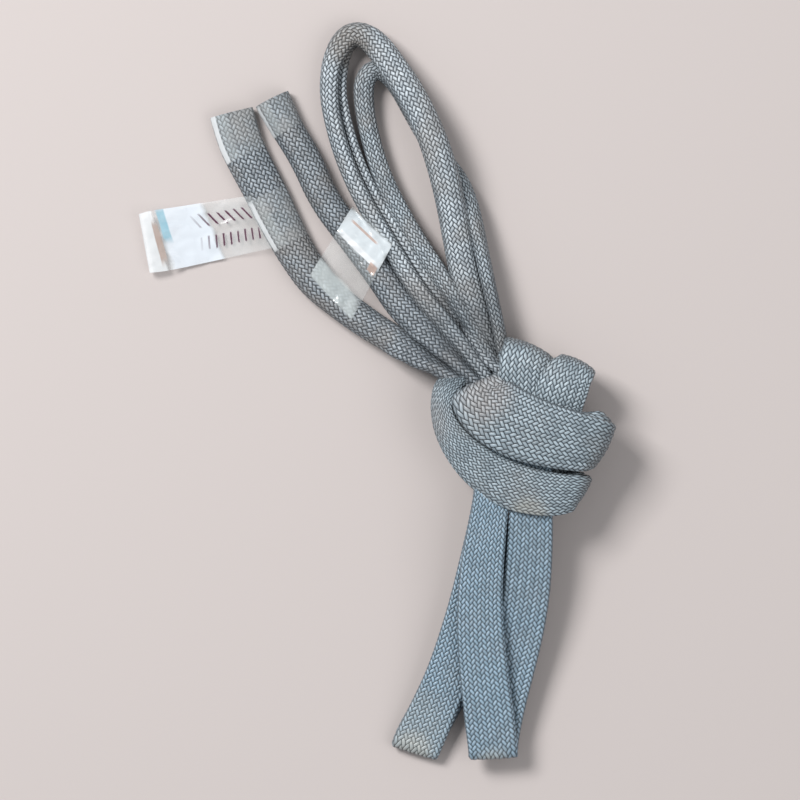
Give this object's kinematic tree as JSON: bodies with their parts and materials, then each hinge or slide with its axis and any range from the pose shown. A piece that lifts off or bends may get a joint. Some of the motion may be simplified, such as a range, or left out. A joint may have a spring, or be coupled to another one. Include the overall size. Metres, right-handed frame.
{
  "type": "knotted hank of flat braided lace",
  "caption": "Long flat braided lace, doubled, folded and tied in an overhand knot, with clear tape on its ends and a clear tape label flag.",
  "frame": {"origin": "middle of the flat underside of the knot, on the surface that the hank lies on", "axes": "+Y along the hank, from the leg folds up towards the two loops; +Z away from the surface; +X to the right of the knot"},
  "size_m": [0.1658, 0.2579, 0.0283],
  "materials": {
    "braid": "woven, with a silvery sheen",
    "clear_tape": "clear glossy film"
  },
  "bodies": {
    "root": {"lace_end_a": "braid", "lace_end_b": "braid", "lace_outer_loop": "braid", "lace_inner_loop": "braid", "lace_neck": "braid", "knot_upper_wrap": "braid", "knot_lower_wrap": "braid", "knot_left_top": "braid", "knot_right_top": "braid", "knot_back_band": "braid", "leg_middle_bight": "braid", "leg_left_bight": "braid", "leg_under_bight": "braid", "end_tape_a": "clear_tape", "end_tape_b": "clear_tape", "label_wrap": "clear_tape", "band_tape": "clear_tape"},
    "label": {"label_flag": "clear_tape"}
  },
  "joints": [
    {"name": "label_lift", "type": "hinge", "parent": "root", "child": "label", "pos_m": [-0.08445, 0.06665, 0.0051], "axis": [-0.4881, 0.8728, 0], "range_deg": [0, 75]}
  ]
}
